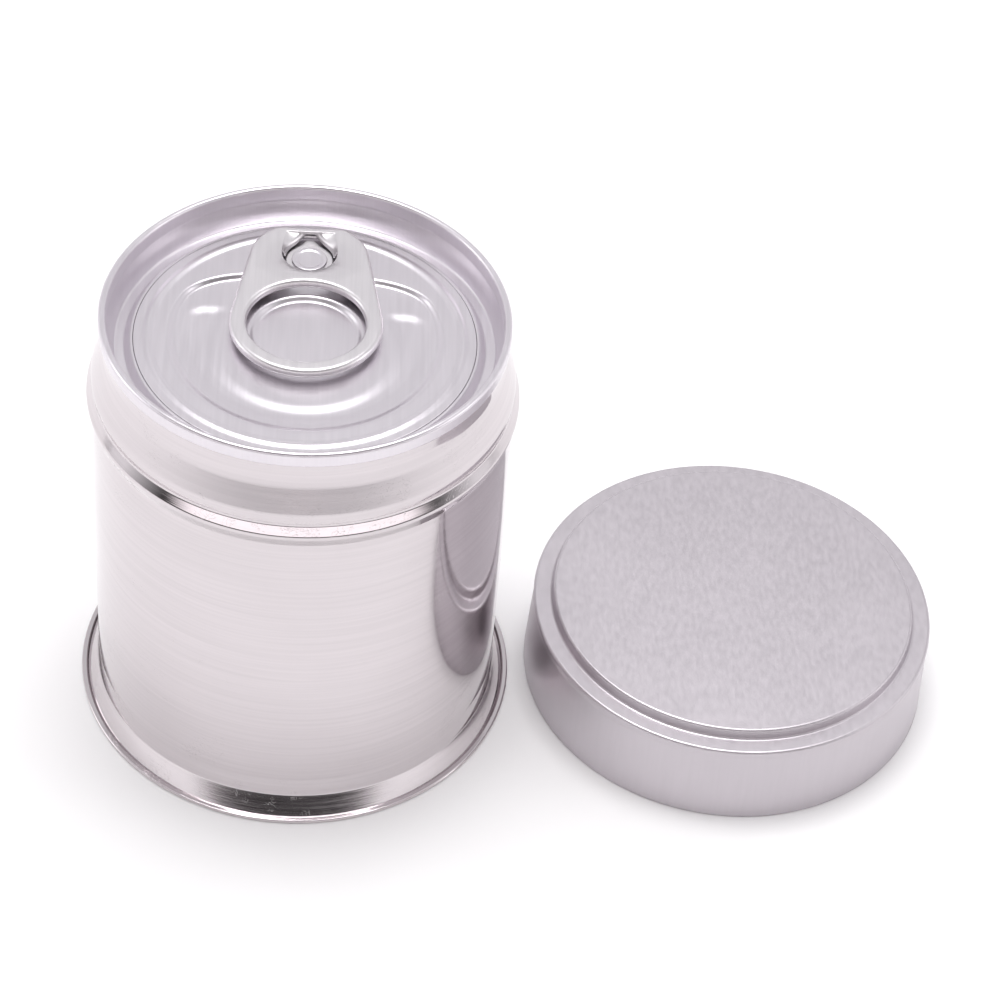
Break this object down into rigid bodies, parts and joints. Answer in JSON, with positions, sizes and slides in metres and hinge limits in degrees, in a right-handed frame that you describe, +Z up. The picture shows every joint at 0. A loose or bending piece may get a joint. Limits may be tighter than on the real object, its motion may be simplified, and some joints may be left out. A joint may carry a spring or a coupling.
{
  "type": "tennis ball can",
  "caption": "Short seamed metal tennis ball can with a ring-pull end, standing beside its metal overcap.",
  "frame": {"origin": "on the can's axis, on the surface that the can stands on", "axes": "+Z up the can's axis; the pull tab's ring points to -Y and its nose to +Y; the overcap stands beside the can towards +X"},
  "size_m": [0.1739, 0.0886, 0.0947],
  "materials": {
    "tinplate": "semi-bright tin over steel, fine grain round the can",
    "end_aluminium": "satin lacquered aluminium",
    "tab_aluminium": "satin, fine grain along the tab",
    "overcap_metal": "matt satin",
    "seam_compound": "matt"
  },
  "bodies": {
    "can": {"can_body": "tinplate", "top_end_ring": "end_aluminium", "top_seam_compound": "seam_compound", "bottom_end": "tinplate", "bottom_seam_compound": "seam_compound"},
    "panel": {"tear_panel": "end_aluminium", "tab_island": "tab_aluminium"},
    "tab": {"pull_tab": "tab_aluminium"},
    "lid": {"overcap": "overcap_metal"}
  },
  "joints": [
    {"name": "panel_peel", "type": "hinge", "parent": "can", "child": "panel", "pos_m": [0, -0.03194, 0.0888], "axis": [1, 0, 0], "range_deg": [0, 75]},
    {"name": "tab_lift", "type": "hinge", "parent": "panel", "child": "tab", "pos_m": [0, 0.0283, 0.0902], "axis": [-1, 0, 0], "range_deg": [0, 90]},
    {"name": "overcap_lift", "type": "slide", "parent": "can", "child": "lid", "axis": [0, 0, 1], "range_m": [0, 0.105]}
  ]
}
